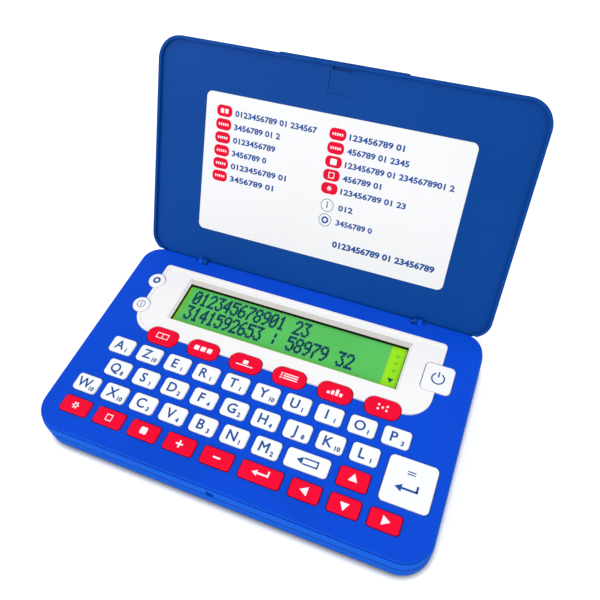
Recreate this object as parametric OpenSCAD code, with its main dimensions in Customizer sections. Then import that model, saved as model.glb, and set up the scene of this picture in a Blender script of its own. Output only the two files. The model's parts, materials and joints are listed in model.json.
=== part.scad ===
// Electronic dictionary: a hinged pocket keyboard with a two-line screen.
// Sizes are in millimetres. The model stands on its rubber feet at z = 0, with the keyboard facing up,
// the front edge towards -y and the lid open, leaning back from its hinge.

/* [Case] */
// Width of the closed case
case_w = 139.8; // [132:0.2:156]
// Depth of the case from its front edge to its back wall
case_d = 84.5; // [76:0.1:92]
// Height of the case from its underside to the keyboard deck
case_h = 13.8; // [13.6:0.2:20]
// Height of the seam between the two case halves above the underside
seam_h = 7.6; // [6.6:0.1:8]
// Thickness of the side walls
wall = 1.8; // [1.6:0.1:2.2]
// Thickness of the keyboard deck
deck_t = 1.8; // [1.4:0.1:2.1]
// Thickness of the floor
floor_t = 1.8; // [1.8:0.1:2.4]
// Plan radius of the front corners
front_r = 9.5; // [6:0.5:12]
// Plan radius of the back corners
back_r = 7.5; // [6:0.5:10]
// How far the side walls swell out past the deck edge
swell = 0.7; // [0.3:0.1:1.2]
// Radius where the side walls turn under
under_r = 1.8; // [1:0.1:3]
// Depth of the line below the deck edge
line_depth = 0.6; // [0.2:0.05:0.7]
// Radius of the catch socket in the front wall
socket_r = 1.6; // [1:0.1:2]

/* [Keys] */
// Height of the key tops above the deck
key_up = 0.6; // [0.5:0.05:1.2]
// Travel of a key
key_travel = 0.5; // [0.4:0.1:0.9]
// Gap between a key and the hole it moves in
key_gap = 0.25; // [0.15:0.05:0.4]
// How far a key flange reaches past its cap
flange_out = 0.5; // [0.4:0.05:0.6]
// Thickness of a key flange
flange_t = 0.8; // [0.6:0.1:1]
// Gap between a key flange and the deck above it
flange_gap = 0.3; // [0.2:0.05:0.4]
// Rounding of the key tops
key_round = 0.5; // [0.3:0.05:0.7]
// Sideways pitch of the letter keys
letter_pitch = 11.66; // [11.5:0.02:11.8]
// Width of a letter key
letter_w = 9.3; // [8:0.1:9.8]
// Depth of a letter key
letter_d = 6.5; // [5.5:0.1:7]
// Sideways pitch of the round-ended red keys
pill_pitch = 17.05; // [16:0.05:17.4]
// Width of a round-ended red key
pill_w = 12.4; // [11:0.1:14]
// Depth of a round-ended red key
pill_d = 6.9; // [6.6:0.1:7.4]
// Sideways pitch of the red keys of the bottom row
red_pitch = 13.735; // [13.4:0.005:13.8]
// Width of a red key of the bottom row
red_w = 10.9; // [10:0.1:11.6]
// Depth of a key of the bottom row
red_d = 6; // [5.5:0.1:6.6]
// Sideways pitch of the arrow keys
arrow_pitch = 12.93; // [12:0.01:13]
// Width of an arrow key
arrow_w = 10.1; // [9:0.1:10.8]
// Radius of the two round keys beside the screen
round_key_r = 3.4; // [2.8:0.1:3.8]

/* [Screen] */
// Width of the window over the screen
window_w = 89.2; // [80:0.2:90]
// Depth of the window over the screen
window_d = 17.7; // [15:0.1:19]
// Width of the screen glass
glass_w = 97; // [92:0.5:99]
// Depth of the screen glass
glass_d = 24; // [21:0.5:26]
// Thickness of the screen glass
glass_t = 2.8; // [2:0.1:3]
// Height of the white frame above the deck
bezel_up = 0.5; // [0.4:0.05:0.8]
// How deep the white frame is let into the deck
bezel_in = 0.9; // [0.6:0.1:1.1]

/* [Lid] */
// Width of the lid
lid_w = 139.4; // [132:0.2:140]
// Length of the lid from its hinge edge to its free edge
lid_l = 84.1; // [76:0.05:84.4]
// Thickness of the lid plate
lid_t = 2.2; // [1.8:0.1:3]
// Plan radius of the corners at the free edge
lid_free_r = 9; // [6:0.5:12]
// Plan radius of the corners at the hinge
lid_hinge_r = 7.5; // [4:0.5:9]
// Width of the rim round the inner face
rim_w = 1.2; // [1:0.1:1.6]
// Gap between the rim and the deck when the lid is shut
rim_gap = 0.3; // [0.2:0.05:0.5]
// Room between the deck and the inner face of the shut lid
lid_room = 1.5; // [1.45:0.05:2.5]
// Angle of the open lid above the level
lid_lean = 60.6; // [50:0.1:80]
// Width of the white card in the lid
card_w = 99; // [80:1:110]
// Length of the white card in the lid
card_l = 53; // [40:1:60]
// Thickness of the card
card_t = 0.45; // [0.3:0.05:0.8]

/* [Hinge] */
// Height of the hinge axis above the deck
axis_up = 0.03; // [0:0.01:0.1]
// Distance from the back wall forward to the hinge axis
axis_in = 0.8; // [0.6:0.05:1]
// Radius of the hinge pins moulded on the lid
hinge_pin_r = 0.7; // [0.5:0.05:0.75]
// Radial clearance of the hinge pins
pin_gap = 0.05; // [0.02:0.01:0.09]
// Radius of the hinge knuckles
knuckle_r = 1.25; // [1.1:0.05:1.3]
// Width of one knuckle
knuckle_w = 1.6; // [1.2:0.1:2.5]
// Distance from the middle to the gap between lug and knuckle
hinge_x = 44.65; // [36:0.05:50]

/* [Battery] */
// Radius of a coin cell
cell_r = 10; // [8:0.5:10]
// Thickness of a coin cell
cell_t = 3.2; // [1.6:0.1:3.2]
// Half width of the battery door
door_half = 25.8; // [25:0.1:30]
// Length of the battery door, from its inner end to the back wall
door_l = 28; // [27:0.5:32]
// Clearance round the door
door_gap = 0.2; // [0.1:0.05:0.4]

/* [Feet] */
// Radius of a rubber foot
foot_r = 4; // [2.5:0.5:5]
// How far a foot stands out under the case
foot_out = 0.5; // [0.3:0.1:1]
// How deep a foot is let into the floor
foot_in = 0.8; // [0.5:0.1:1]

/* [Screws] */
// Radius of a screw shank
screw_r = 1; // [0.8:0.1:1.1]
// Radius of a screw head
screw_head_r = 1.9; // [1.6:0.1:2]
// Length of a screw under its head
screw_l = 7.5; // [6:0.5:8]

/* [Hidden] */

$fn = 48;
eps = 0.01;
arc_steps = 8;
seat_gap = 0.02;
case_blue = [0.04, 0.30, 0.84];
lid_blue = [0.05, 0.29, 0.62];
key_white = [0.96, 0.97, 0.98];
key_red = [0.96, 0.02, 0.20];

// Heights, measured up from the surface under the feet.
under_z = foot_out;
deck_z = under_z + case_h;
deck_low = deck_z - deck_t;
seam_z = under_z + seam_h;
floor_z = under_z + floor_t;

// The walls: seam with its tongue, rounded deck edge and the line below it.
seam_gap = 0.1;
seam_bevel = 0.35;
edge_r = 0.6;
line_top = 0.7;
line_low = 1.5;
tongue_t = 0.85;
tongue_h = 0.9;
tongue_gap = 0.15;
socket_x = -0.4;
socket_drop = 4.2;
socket_deep = 1.1;
socket_pin_r = 0.6;
socket_pin_l = 0.6;

// The hinge axis and the open lid's inner face. The lid frame has its x along the hinge, its y up the
// lid and its z out of the inner face, and it starts where the hinge axis drops onto that face.
axis_y = case_d - axis_in;
axis_z = deck_z + axis_up;
face_drop = lid_room - axis_up;
lid_start = -0.75;
lid_end = lid_start + lid_l;
lid_edge_r = 1.9;
lid_shift = 0.6;
rim_h = lid_room - rim_gap;
rim_start = 0.5;
corner_rim_start = -0.1;
corner_clear_x = case_w / 2 - 3.9;
plate_in = 2.5;
hinge_side_gap = 0.15;
swing_gap = 0.3;
lug_sink = 0.5;
pocket_drop = 1;

// The model is centred on its footprint: from the swollen front wall to the open lid's back.
lid_back = axis_y + (lid_end - lid_edge_r) * cos(lid_lean)
    + (face_drop + lid_t - lid_edge_r) * sin(lid_lean) + lid_edge_r;
mid_y = (lid_back - swell) / 2;

// The card with its recess, the catch recess and slot, and the lip for the thumb.
card_x = 0.1;
card_y = 40.11;
card_r = 2.2;
card_gap = 0.1;
card_sink = 0.05;
catch_x = 0.1;
catch_w = 8.4;
catch_l = 8;
catch_in = 10.2;
catch_deep = 0.25;
slot_w = 6.8;
slot_l = 1.2;
slot_in = 2.4;
slot_deep = 0.9;
lip_half = 22.5;
lip_out = 0.35;
lip_low = 0.6;
lip_t = 1.4;

// The free depth between the walls, in front of, between and behind the key rows and the screen.
// The listed parts of it lie before the bottom row, before the next four rows, before the glass
// and behind the glass.
free_parts = [4.5, 1.64, 1.54, 1.54, 0.93, 1.8, 7.55];
free_sum = free_parts * [1, 1, 1, 1, 1, 1, 1];
free_d = case_d - 2 * wall - red_d - 3 * letter_d - pill_d - 10 * flange_out - glass_d;
gaps = free_parts * free_d / free_sum;

// Rows of the keyboard and the middle of the screen, measured back from the front edge.
row_bottom = wall + gaps[0] + flange_out + red_d / 2;
row_3 = row_bottom + red_d / 2 + gaps[1] + 2 * flange_out + letter_d / 2;
row_2 = row_3 + letter_d + gaps[2] + 2 * flange_out;
row_1 = row_2 + letter_d + gaps[3] + 2 * flange_out;
row_pill = row_1 + letter_d / 2 + gaps[4] + 2 * flange_out + pill_d / 2;
window_x = 0.3;
window_y = row_pill + pill_d / 2 + flange_out + gaps[5] + glass_d / 2;

// The middles of the letter rows, how many pitches lie from there to the last key, where the other rows
// start, and the keys that stand alone. Erase and enter fill what the letters leave on their right.
row_1_mid = -2.1;
row_2_mid = -4.18;
row_3_mid = -23.18;
row_2_half = 4;
row_3_half = 3;
pill_x = -42.26;
red_x = -57.04;
arrow_x = 28.65;
red_r = 1;
letter_r = 1.3;
pill_r = 3.1;
back_key_w = 14.4;
back_key_x = 13.45;
erase_gap = 2.1;
erase_end = 3.08;
erase_x0 = row_3_mid + row_3_half * letter_pitch + letter_w / 2 + erase_gap;
erase_x1 = arrow_x + arrow_pitch - arrow_w / 2 - erase_end;
erase_w = erase_x1 - erase_x0;
enter_gap = 3.19;
enter_side = 3.7;
enter_x0 = row_2_mid + row_2_half * letter_pitch + letter_w / 2 + enter_gap;
enter_x1 = case_w / 2 - enter_side;
enter_w = enter_x1 - enter_x0;
enter_d = 15.7;
enter_y = (row_bottom + row_1) / 2 + 0.135;
enter_r = 1.7;
power_w = 10.4;
power_d = 11;
power_x = 57.6;
power_y = window_y - 0.48;
settings_y = window_y + 5.12;
help_y = window_y - 7.28;
round_x = -57.8;

// One line of the keyboard table: name, middle x and y, width, depth, corner radius and colour.
function key_row(names, x, y, pitch, w, d, r, paint) =
    [for (i = [0 : len(names) - 1]) [names[i], x + i * pitch, y, w, d, r, paint]];

// A row of letter keys about its own middle.
function letter_row(names, middle, y) =
    key_row(names, middle - (len(names) - 1) / 2 * letter_pitch, y, letter_pitch, letter_w, letter_d,
        letter_r, key_white);

KEYS = concat(
    letter_row(["key_a", "key_z", "key_e", "key_r", "key_t", "key_y", "key_u", "key_i", "key_o", "key_p"],
        row_1_mid, row_1),
    letter_row(["key_q", "key_s", "key_d", "key_f", "key_g", "key_h", "key_j", "key_k", "key_l"],
        row_2_mid, row_2),
    letter_row(["key_w", "key_x", "key_c", "key_v", "key_b", "key_n", "key_m"], row_3_mid, row_3),
    key_row(["key_book", "key_form", "key_place", "key_list", "key_score", "key_games"],
        pill_x, row_pill, pill_pitch, pill_w, pill_d, pill_r, key_red),
    key_row(["key_star", "key_joker", "key_square", "key_bonus", "key_deduct"],
        red_x, row_bottom, red_pitch, red_w, red_d, red_r, key_red),
    key_row(["key_left", "key_down", "key_right"],
        arrow_x, row_bottom, arrow_pitch, arrow_w, red_d, red_r, key_red),
    [
        ["key_up_arrow", arrow_x + arrow_pitch, row_3, arrow_w, letter_d, red_r, key_red],
        ["key_back", back_key_x, row_bottom, back_key_w, red_d, red_r, key_red],
        ["key_erase", (erase_x0 + erase_x1) / 2, row_3, erase_w, letter_d, letter_r, key_white],
        ["key_enter", (enter_x0 + enter_x1) / 2, enter_y, enter_w, enter_d, enter_r, key_white],
        ["key_power", power_x, power_y, power_w, power_d, enter_r, key_white],
        ["key_settings", round_x, settings_y, 2 * round_key_r, 2 * round_key_r, round_key_r, key_white],
        ["key_help", round_x, help_y, 2 * round_key_r, 2 * round_key_r, round_key_r, key_white]
    ]);

// The layers under the deck: key flanges and stems, domes, sheet, board and glass.
flange_top = deck_low - flange_gap;
flange_low = flange_top - flange_t;
stem_l = key_travel + 0.3;
stem_r = 1.2;
stem_low = flange_low - stem_l;
dome_top = stem_low - 0.1;
dome_h = key_travel + 0.4;
dome_wall = 1.2;
dome_in = stem_r + 0.4;
sheet_t = 1;
sheet_top = dome_top - dome_h;
board_t = 1.2;
board_top = sheet_top - sheet_t;
board_low = board_top - board_t;
glass_top = deck_low - 0.1;
glass_ledge = 1.5;
connector_w = 1.8;
connector_in = 0.6;
connector_end = 3;
// Half width, front and back of the board and the sheet, and the two side wings of the sheet, each as
// its left side, its right side and its back.
board_side_gap = 2.1;
board_half = case_w / 2 - wall - board_side_gap;
board_y0 = row_bottom - 3.73;
board_y1 = window_y + 13.45;
board_r = 2;
sheet_y1 = row_pill + 4.87;
wing_y0 = row_pill - 5.13;
wing_half = 6;
left_wing = [round_x - wing_half, round_x + wing_half, settings_y + wing_half];
right_wing = [power_x - wing_half, power_x + wing_half, power_y + power_d / 2 + 2];
// Parts on the underside of the board, as middle x and y with their sizes.
chip_place = [-18, 26];
chip_r = 7;
chip_t = 1.2;
capacitor_places = [[5.6, 30.8], [11.6, 30.8], [17.6, 30.8], [23.6, 30.8]];
capacitor_size = [3.2, 1.6, 0.9];
driver_place = [10.5, 21.5];
driver_size = [9, 7, 1.1];
buzzer_place = [34, 24];
buzzer_r = 2.2;
buzzer_t = 2.6;
crystal_place = [-39.5, 21.6];
crystal_size = [9, 3.2, 2.2];

// The white frame round the screen and its window, whose sides slope.
bezel_x0 = -57.5;
bezel_x1 = 57.8;
bezel_y0 = row_pill + 0.2;
bezel_y1 = window_y + 14.15;
bezel_top_r = 1.6;
bezel_low_r = 8.7;
bezel_lip = 1.2;
bezel_dip = 0.25;
bezel_gap = 0.12;
bezel_edge_r = 0.25;
window_back_slope = 2;
window_side_slope = 1.2;
window_front_slope = 0.8;

// The battery bay: the cells, the door with its tongues and grip, the rails and the walls.
cell_x = cell_r + 0.8;
cell_in = 17;
cell_y = case_d - cell_in;
cell_lift = 0.15;
cell_step = 0.4;
cell_cap_in = 1.2;
door_y0 = case_d - door_l;
door_plate_t = 1;
door_tongue = 1.5;
door_past = 5;
grip_lines = 6;
grip_half = 9;
grip_in = 8;
grip_r = 0.3;
rail_foot = 1.4;
rail_t = 1.4;
rail_gap = 0.1;
bay_stop_gap = 0.2;
bay_stop_t = 1.2;
bay_half = 2 * cell_r + 2.4;
bay_wall = 1.2;
bay_divider = 0.8;
bay_top = floor_z + 3.2;
strip_t = 0.25;
strip_w = 4;
strip_half = 6;
strip_z = floor_z + cell_lift + cell_t + 0.05;
strip_side_z = floor_z + 0.6;

// Places of the screws and the feet, and the sizes of their seats.
front_screw_x = case_w / 2 - 3.8;
front_screw_y = row_bottom + 1.9;
back_screw_x = case_w / 2 - 13.9;
back_screw_y = case_d - 4.2;
front_foot_x = case_w / 2 - 14.9;
back_foot_x = case_w / 2 - 9.9;
back_foot_y = case_d - 15.4;
screw_places = concat([for (s = [-1, 1]) [s * front_screw_x, front_screw_y]],
    [for (s = [-1, 1]) [s * back_screw_x, back_screw_y]]);
foot_places = concat([for (s = [-1, 1]) [s * front_foot_x, row_bottom]],
    [for (s = [-1, 1]) [s * back_foot_x, back_foot_y]]);
screw_gap = 0.02;
shank_gap = 0.3;
head_gap = 0.25;
head_t = 1.3;
head_seat = floor_z + 1.1;
cross_l = 2.4;
cross_w = 0.5;
cross_deep = 0.7;
boss_r = 2.2;
boss_gap = 0.3;
post_r = 2.5;
foot_gap = 0.1;
foot_bevel = 0.4;

// A flat rounded rectangle from one corner to the other, with a radius for its front and back corners.
module plate(x0, y0, x1, y1, r_front, r_back) {
    difference() {
        translate([x0, y0]) square([x1 - x0, y1 - y0]);
        for (x = [x0, x1 - r_front]) translate([x, y0]) square(r_front);
        for (x = [x0, x1 - r_back]) translate([x, y1 - r_back]) square(r_back);
    }
    for (x = [x0 + r_front, x1 - r_front]) translate([x, y0 + r_front]) circle(r_front);
    for (x = [x0 + r_back, x1 - r_back]) translate([x, y1 - r_back]) circle(r_back);
}

// The same plate about its own middle, with one radius.
module key_plan(w, d, r) {
    plate(-w / 2, -d / 2, w / 2, d / 2, r, r);
}

// The plan of the case, moved in from its edge.
module case_plan(inset) {
    plate(-case_w / 2 + inset, inset, case_w / 2 - inset, case_d - inset, front_r - inset, back_r - inset);
}

// Runs a wall section round a rectangle of width w from y0 to y1. The section's x points outward.
module round_wall(w, y0, y1, r_front, r_back) {
    for (c = [
        [w / 2 - r_back, y1 - r_back, 0, r_back], [-(w / 2 - r_back), y1 - r_back, 90, r_back],
        [-(w / 2 - r_front), y0 + r_front, 180, r_front], [w / 2 - r_front, y0 + r_front, 270, r_front]])
        translate([c[0], c[1], 0]) rotate([0, 0, c[2]]) rotate_extrude(angle = 90)
            translate([c[3], 0]) children();
    for (s = [
        [w / 2, y1 - r_back, 0, y1 - y0 - r_back - r_front],
        [w / 2 - r_front, y0, 270, w - 2 * r_front],
        [-w / 2, y0 + r_front, 180, y1 - y0 - r_back - r_front],
        [-(w / 2 - r_back), y1, 90, w - 2 * r_back]])
        translate([s[0], s[1], 0]) rotate([0, 0, s[2]]) rotate([90, 0, 0])
            linear_extrude(s[3]) children();
}

// Puts the case, drawn from its front edge, into the model's frame.
module in_case() {
    translate([0, -mid_y, 0]) children();
}

// Puts the lid, drawn from where the hinge axis drops onto its inner face, into the model's frame.
module in_lid() {
    in_case() translate([0, axis_y, axis_z]) rotate([lid_lean, 0, 0])
        translate([0, 0, -face_drop]) children();
}

// A cylinder along x, outward from x on the side s.
module side_rod(s, x, y, z, r, l) {
    translate([s * x, y, z]) rotate([0, s * 90, 0]) cylinder(r = r, h = l);
}

// A block whose near face is at x on the side s.
module side_block(s, x, y, z, size) {
    translate([s > 0 ? x : -x - size[0], y, z]) cube(size);
}

// Section of the upper wall: deck edge, line, and the swelling side down to the seam.
module upper_section() {
    low = seam_z + seam_gap;
    rise = deck_z - line_low - low - seam_bevel;
    difference() {
        polygon(concat(
            [[-wall, low], [swell - seam_bevel, low], [swell, low + seam_bevel]],
            [for (i = [1 : arc_steps]) [swell * cos(90 * i / arc_steps),
                low + seam_bevel + rise * sin(90 * i / arc_steps)]],
            [[-line_depth, deck_z - line_low], [-line_depth, deck_z - line_top], [0, deck_z - line_top]],
            [for (i = [0 : arc_steps]) [edge_r * (cos(90 * i / arc_steps) - 1),
                deck_z - edge_r + edge_r * sin(90 * i / arc_steps)]],
            [[-wall, deck_z]]));
        translate([-wall - eps, low - eps]) square([tongue_t + tongue_gap, tongue_h + tongue_gap]);
    }
}

// Section of the lower wall: from the seam down to where it turns under.
module lower_section() {
    top = seam_z - seam_gap;
    tongue = tongue_t - tongue_gap;
    polygon(concat(
        [[-wall, under_z], [swell - under_r, under_z]],
        [for (i = [0 : arc_steps]) [swell - under_r + under_r * sin(90 * i / arc_steps),
            under_z + under_r - under_r * cos(90 * i / arc_steps)]],
        [[swell, top - seam_bevel], [swell - seam_bevel, top], [tongue - wall, top],
            [tongue - wall, top + tongue_h], [-wall, top + tongue_h]]));
}

// The outer shape of the lower half as one block, used to shape its floor and the door.
module lower_block() {
    round_wall(case_w, 0, case_d, front_r, back_r) lower_section();
    translate([0, 0, under_z]) linear_extrude(floor_t) case_plan(wall - eps);
}

// The way the battery door slides in: narrow at the outside, wider above.
module door_way() {
    wide = door_half + door_tongue + door_gap;
    translate([-door_half - door_gap, door_y0 - door_gap, under_z - 1])
        cube([2 * (door_half + door_gap), door_l + door_past, 1 + door_plate_t - rail_gap]);
    translate([-wide, door_y0 - door_gap, under_z + door_plate_t - rail_gap])
        cube([2 * wide, door_l + door_past, floor_t - door_plate_t + 2 * rail_gap]);
}

// Rails over the door's tongues, the stop at its inner end, and the walls round the cells.
module battery_bay() {
    stop_y = door_y0 - bay_stop_gap - bay_stop_t;
    bay_l = case_d - wall - stop_y + eps;
    way_half = door_half + door_tongue + door_gap;
    for (s = [-1, 1]) {
        side_block(s, way_half + eps, stop_y, floor_z - eps, [rail_foot, bay_l, rail_t + rail_gap + eps]);
        side_block(s, door_half, stop_y, floor_z + rail_gap,
            [way_half - door_half + rail_foot, bay_l, rail_t]);
        side_block(s, bay_half, stop_y, floor_z + rail_gap,
            [bay_wall, bay_l, bay_top - floor_z - rail_gap]);
    }
    translate([-way_half - rail_foot, stop_y, floor_z - eps])
        cube([2 * (way_half + rail_foot), bay_stop_t, bay_top - floor_z + eps]);
    translate([-bay_divider / 2, stop_y, floor_z + rail_gap])
        cube([bay_divider, bay_l, bay_top - floor_z - rail_gap]);
}

module bottom_case() {
    color(case_blue) in_case() difference() {
        union() {
            difference() {
                lower_block();
                door_way();
            }
            battery_bay();
            intersection() {
                for (p = screw_places) translate([p[0], p[1], under_z + floor_t / 2])
                    cylinder(r = post_r, h = seam_z - seam_gap - under_z - floor_t / 2);
                linear_extrude(deck_z) case_plan(0);
            }
        }
        for (p = screw_places) translate([p[0], p[1], under_z - 1]) {
            cylinder(r = screw_head_r + head_gap, h = head_seat - under_z + 1);
            cylinder(r = screw_r + shank_gap, h = case_h);
        }
        for (p = foot_places) translate([p[0], p[1], under_z - 1])
            cylinder(r = foot_r + foot_gap, h = 1 + foot_in);
    }
}

module top_case() {
    color(case_blue) in_case() difference() {
        union() {
            round_wall(case_w, 0, case_d, front_r, back_r) upper_section();
            translate([0, 0, deck_low]) linear_extrude(deck_t) case_plan(wall / 2);
            for (p = screw_places) translate([p[0], p[1], seam_z + seam_gap])
                cylinder(r = boss_r, h = deck_low + eps - seam_z - seam_gap);
            for (s = [-1, 1]) hinge_knuckle(s);
        }
        for (s = [-1, 1]) {
            lug_pocket(s);
            side_rod(s, hinge_x - 1, axis_y, axis_z, hinge_pin_r + pin_gap, knuckle_w + 3);
        }
        for (p = screw_places) translate([p[0], p[1], seam_z - 1])
            cylinder(r = screw_r + screw_gap, h = head_seat + screw_l + 0.5 - seam_z + 1);
        translate([0, 0, deck_z - bezel_in]) linear_extrude(2 * bezel_in) bezel_plan(bezel_gap);
        translate([window_x, window_y, deck_low - 1]) linear_extrude(deck_t + 2)
            square([glass_w - 2 * glass_ledge, glass_d - 2 * glass_ledge], center = true);
        key_holes();
        catch_socket();
    }
}

// Holes for all the keys, right through the deck and the white frame.
module key_holes() {
    for (k = KEYS) translate([k[1], k[2], deck_low - 1]) linear_extrude(deck_t + 3)
        key_plan(k[3] + 2 * key_gap, k[4] + 2 * key_gap, k[5] + key_gap);
}

// Knuckle on the deck that holds a lid pin.
module hinge_knuckle(s) {
    x = hinge_x + hinge_side_gap;
    side_rod(s, x, axis_y, axis_z, knuckle_r, knuckle_w);
    side_block(s, x, axis_y - knuckle_r, deck_z - 1, [knuckle_w, knuckle_r + axis_in, 1 + axis_up]);
}

// Room in the deck for a lid lug as it swings.
module lug_pocket(s) {
    w = knuckle_w + 4 * hinge_side_gap;
    x = hinge_x + hinge_side_gap - w;
    side_rod(s, x, axis_y, axis_z, knuckle_r + swing_gap, w);
    side_block(s, x, axis_y - knuckle_r / 2, axis_z - knuckle_r - pocket_drop,
        [w, 3 * knuckle_r, knuckle_r + pocket_drop + 2]);
}

// Round socket in the front wall, with a small pin in its middle.
module catch_socket() {
    translate([socket_x, socket_deep - swell, deck_z - socket_drop]) rotate([90, 0, 0]) difference() {
        cylinder(r = socket_r, h = socket_deep + 1);
        cylinder(r = socket_pin_r, h = socket_pin_l);
    }
}

// Outline of the white frame, grown by g.
module bezel_plan(g) {
    plate(bezel_x0 - g, bezel_y0 - g, bezel_x1 + g, bezel_y1 + g, bezel_low_r + g, bezel_top_r + g);
}

// Section of the white frame's edge, rounded at the top.
module bezel_edge() {
    top = deck_z + bezel_up;
    polygon(concat(
        [[-bezel_lip, deck_z - bezel_in + seat_gap], [0, deck_z - bezel_in + seat_gap]],
        [for (i = [0 : arc_steps]) [bezel_edge_r * (cos(90 * i / arc_steps) - 1),
            top - bezel_edge_r + bezel_edge_r * sin(90 * i / arc_steps)]],
        [[-bezel_lip, top]]));
}

module screen_bezel() {
    color(key_white) in_case() difference() {
        union() {
            translate([(bezel_x0 + bezel_x1) / 2, 0, 0])
                round_wall(bezel_x1 - bezel_x0, bezel_y0, bezel_y1, bezel_low_r, bezel_top_r) bezel_edge();
            translate([0, 0, deck_z - bezel_in + seat_gap])
                linear_extrude(bezel_in + bezel_up - bezel_dip - seat_gap) bezel_plan(eps - bezel_lip);
        }
        window_cut();
        key_holes();
    }
}

// The window, with sides that slope down to the screen.
module window_cut() {
    low = deck_z - bezel_in - eps;
    top = deck_z + bezel_up;
    x0 = window_x - window_w / 2;
    x1 = window_x + window_w / 2;
    y0 = window_y - window_d / 2;
    y1 = window_y + window_d / 2;
    intersection() {
        translate([0, case_d, 0]) rotate([90, 0, 0]) linear_extrude(case_d) polygon([
            [x0, low], [x1, low], [x1 + window_side_slope, top], [x0 - window_side_slope, top]]);
        translate([-case_w / 2, 0, 0]) rotate([90, 0, 90]) linear_extrude(case_w) polygon([
            [y0, low], [y1, low], [y1 + window_back_slope, top], [y0 - window_front_slope, top]]);
    }
}

module lcd_panel() {
    foot_z = board_top + seat_gap;
    color([0.45, 0.80, 0.35]) in_case() translate([window_x, window_y, 0]) {
        translate([-glass_w / 2, -glass_d / 2, glass_top - glass_t]) cube([glass_w, glass_d, glass_t]);
        for (y = [-glass_d / 2 + connector_in, glass_d / 2 - connector_in - connector_w])
            translate([-glass_w / 2 + connector_end, y, foot_z])
                cube([glass_w - 2 * connector_end, connector_w, glass_top - glass_t + eps - foot_z]);
    }
}

// Soft sheet with a dome ring under every key. The crowns that fold under the stems are left open.
module keypad_membrane() {
    color([0.75, 0.76, 0.78]) in_case() difference() {
        union() {
            translate([0, 0, board_top + seat_gap]) linear_extrude(sheet_t - seat_gap) {
                plate(-board_half, board_y0, board_half, sheet_y1, board_r, board_r);
                for (w = [left_wing, right_wing]) plate(w[0], wing_y0, w[1], w[2], board_r, board_r);
            }
            for (k = KEYS) translate([k[1], k[2], sheet_top - eps])
                cylinder(r = dome_in + dome_wall, h = dome_h + eps);
        }
        for (k = KEYS) translate([k[1], k[2], sheet_top]) cylinder(r = dome_in, h = dome_h + 1);
        boss_clearance();
    }
}

// Room for the screw bosses in the sheet and the board.
module boss_clearance() {
    for (p = screw_places) translate([p[0], p[1], 0]) cylinder(r = boss_r + boss_gap, h = deck_z);
}

// A block on the underside of the board, about its middle.
module board_block(place, size) {
    translate([place[0] - size[0] / 2, place[1] - size[1] / 2, board_low - size[2]])
        cube([size[0], size[1], size[2] + eps]);
}

// A round part on the underside of the board.
module board_disc(place, r, t) {
    translate([place[0], place[1], board_low - t]) cylinder(r = r, h = t + eps);
}

module circuit_board() {
    color([0.10, 0.42, 0.22]) in_case() {
        difference() {
            translate([0, 0, board_low]) linear_extrude(board_t)
                plate(-board_half, board_y0, board_half, board_y1, board_r, board_r);
            boss_clearance();
        }
        board_disc(chip_place, chip_r, chip_t);
        for (p = capacitor_places) board_block(p, capacitor_size);
        board_block(driver_place, driver_size);
        board_disc(buzzer_place, buzzer_r, buzzer_t);
        board_block(crystal_place, crystal_size);
    }
}

module battery_door() {
    color(case_blue) in_case() difference() {
        union() {
            intersection() {
                lower_block();
                translate([-door_half, door_y0, under_z])
                    cube([2 * door_half, door_l + door_past, door_plate_t]);
            }
            translate([-door_half - door_tongue, door_y0, under_z + door_plate_t - eps])
                cube([2 * (door_half + door_tongue), door_l - wall, floor_t - door_plate_t]);
        }
        for (i = [0 : grip_lines - 1]) translate([-grip_half, case_d - grip_in + i, under_z])
            rotate([0, 90, 0]) cylinder(r = grip_r, h = 2 * grip_half);
    }
}

module coin_cells() {
    can = cell_t - cell_step;
    color([0.78, 0.79, 0.80]) in_case() for (s = [-1, 1])
        translate([s * cell_x, cell_y, floor_z + cell_lift]) {
            cylinder(r = cell_r, h = can);
            translate([0, 0, can - eps]) cylinder(r = cell_r - cell_cap_in, h = cell_step + eps);
        }
}

// Over each cell a strip that presses on it, and behind it one that touches its side.
module battery_contacts() {
    color([0.80, 0.74, 0.50]) in_case() for (s = [-1, 1]) translate([s * cell_x - strip_w / 2, cell_y, 0]) {
        translate([0, -strip_half, strip_z]) cube([strip_w, 2 * strip_half, strip_t]);
        translate([0, strip_half - strip_t, strip_z]) cube([strip_w, strip_t, board_low - strip_z]);
        translate([0, cell_r + 0.1, strip_side_z]) cube([strip_w, strip_t, board_low - strip_side_z]);
    }
}

module case_screws() {
    color([0.70, 0.71, 0.73]) in_case() for (p = screw_places) translate([p[0], p[1], head_seat - head_t])
        difference() {
            union() {
                cylinder(r = screw_head_r, h = head_t - seat_gap);
                cylinder(r = screw_r, h = head_t + screw_l);
            }
            for (a = [0, 90]) rotate([0, 0, a]) translate([-cross_l / 2, -cross_w / 2, -eps])
                cube([cross_l, cross_w, cross_deep]);
        }
}

module rubber_feet() {
    foot_h = foot_out + foot_in - seat_gap;
    color([0.12, 0.12, 0.13]) in_case() for (p = foot_places) translate([p[0], p[1], 0])
        rotate_extrude() polygon([[0, 0], [foot_r - foot_bevel, 0], [foot_r, foot_bevel],
            [foot_r, foot_h], [0, foot_h]]);
}

// Section of the lid edge: rounded outside, with the rim that closes on the deck.
module lid_section() {
    soft = 0.25;
    polygon(concat(
        [[-plate_in - 0.5, 0], [-plate_in - 0.5, -lid_t]],
        [for (i = [0 : arc_steps]) [-lid_edge_r + lid_edge_r * sin(90 * i / arc_steps),
            -lid_t + lid_edge_r - lid_edge_r * cos(90 * i / arc_steps)]],
        [[0, rim_h - soft], [-soft, rim_h], [soft - rim_w, rim_h], [-rim_w, rim_h - soft], [-rim_w, 0]]));
}

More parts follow.
